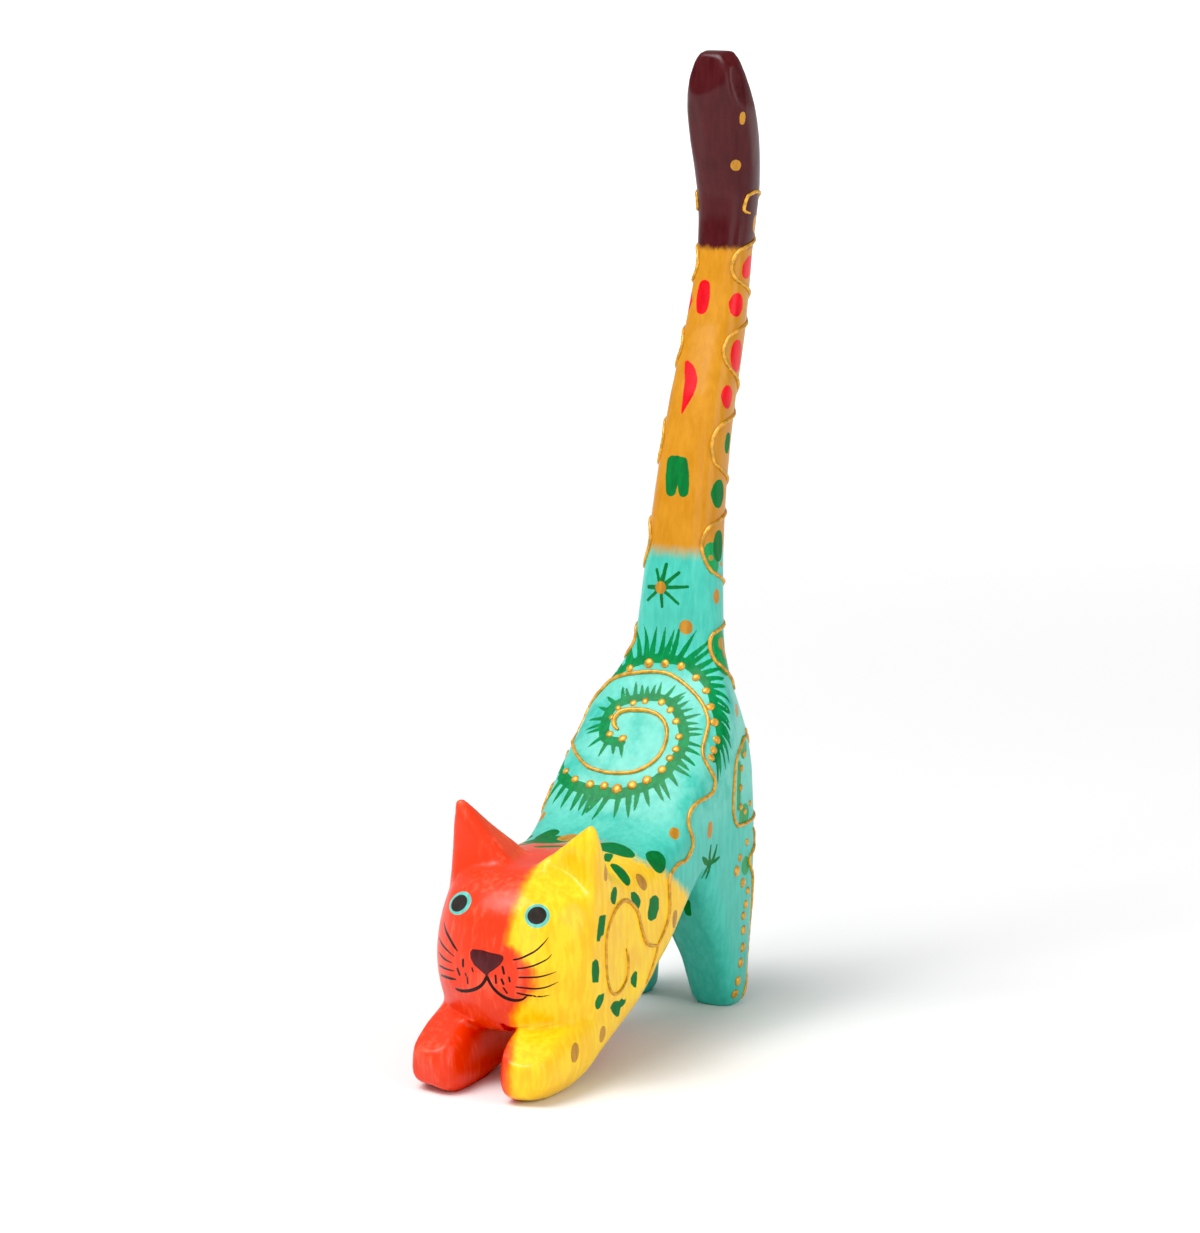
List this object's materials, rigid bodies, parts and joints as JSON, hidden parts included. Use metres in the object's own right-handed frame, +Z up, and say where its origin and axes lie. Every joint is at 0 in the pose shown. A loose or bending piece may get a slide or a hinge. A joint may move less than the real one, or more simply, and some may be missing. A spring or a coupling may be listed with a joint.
{
  "type": "cat ring holder",
  "caption": "Painted carved wooden cat in a low stretch, with its tall tail raised as a post that finger rings slip over.",
  "frame": {"origin": "centre of the bounding box at floor height", "axes": "+Z up along the tail, -Y the way the cat looks, +X to the cat's left"},
  "size_m": [0.035, 0.1172, 0.2],
  "materials": {
    "painted_wood": "satin paint in turquoise, red, yellow, ochre and maroon, with raised gold lines and dots"
  },
  "bodies": {
    "root": {"carved_cat": "painted_wood"}
  },
  "joints": []
}
